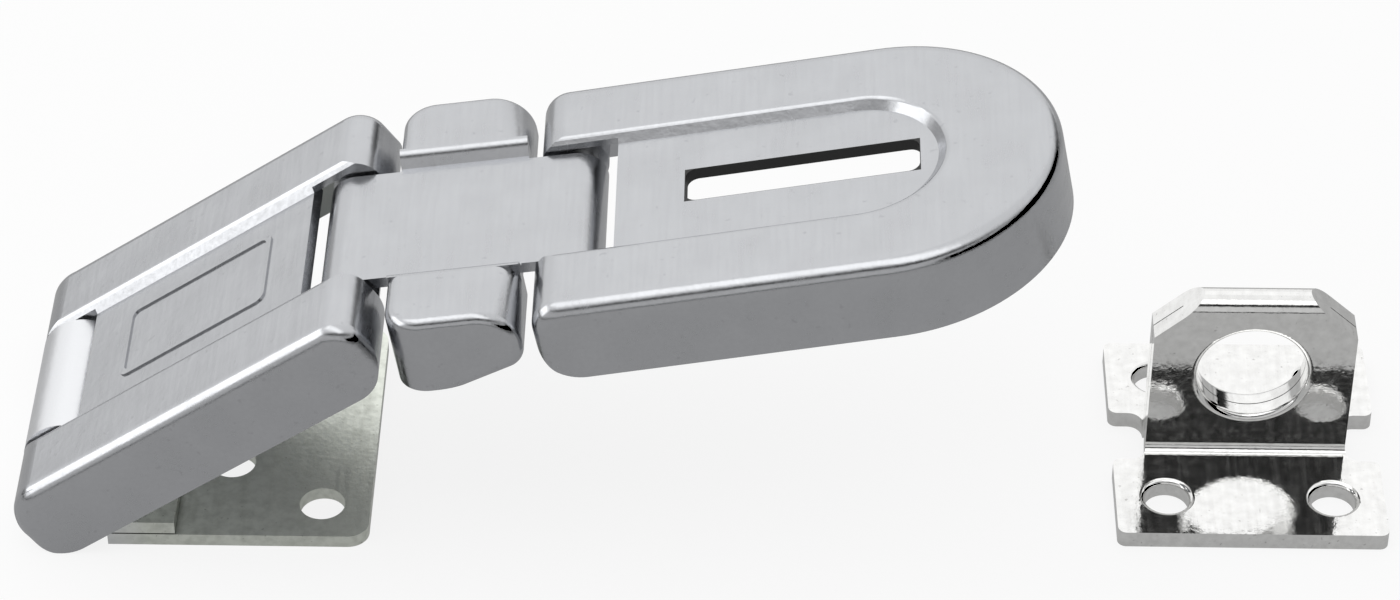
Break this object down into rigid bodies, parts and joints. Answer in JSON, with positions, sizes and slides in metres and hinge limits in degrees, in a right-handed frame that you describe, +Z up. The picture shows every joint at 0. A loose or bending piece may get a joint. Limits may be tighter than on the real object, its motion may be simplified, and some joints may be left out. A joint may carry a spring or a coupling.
{
  "type": "double-jointed padlock hasp with staple",
  "caption": "Pressed steel padlock hasp with cover leaf, link and slotted hasp leaf on concealed hinge pins, with a folded staple that has a round padlock eye.",
  "frame": {"origin": "on the mounting surface, straight below the axis of the pin that hinges the cover leaf to the mounting plate", "axes": "+X along the hasp from the fixed hinge towards the staple, +Y along the hinge pins, +Z up from the mounting surface"},
  "size_m": [0.1846, 0.0474, 0.0557],
  "materials": {
    "plate_steel": "mottled zinc plate, dull",
    "leaf_steel": "satin zinc plate with a faint cross grain",
    "pin_steel": "plain steel",
    "staple_steel": "bright zinc plate, speckled"
  },
  "bodies": {
    "base": {"mounting_plate": "plate_steel", "staple": "staple_steel"},
    "cover": {"cover_leaf": "leaf_steel", "plate_pin": "pin_steel", "cover_pin": "pin_steel"},
    "middle_link": {"link": "leaf_steel"},
    "hasp": {"hasp_leaf": "leaf_steel", "hasp_pin": "pin_steel"}
  },
  "joints": [
    {"name": "cover_hinge", "type": "hinge", "parent": "base", "child": "cover", "pos_m": [0, 0, 0.00595], "axis": [0, -1, 0], "range_deg": [-35, 145]},
    {"name": "link_hinge", "type": "hinge", "parent": "cover", "child": "middle_link", "pos_m": [0.03973, 0, 0.03377], "axis": [0, -1, 0], "range_deg": [-63.5, 116.5]},
    {"name": "hasp_hinge", "type": "hinge", "parent": "middle_link", "child": "hasp", "pos_m": [0.0695, 0, 0.03822], "axis": [0, -1, 0], "range_deg": [-92.1, 87.9]}
  ]
}
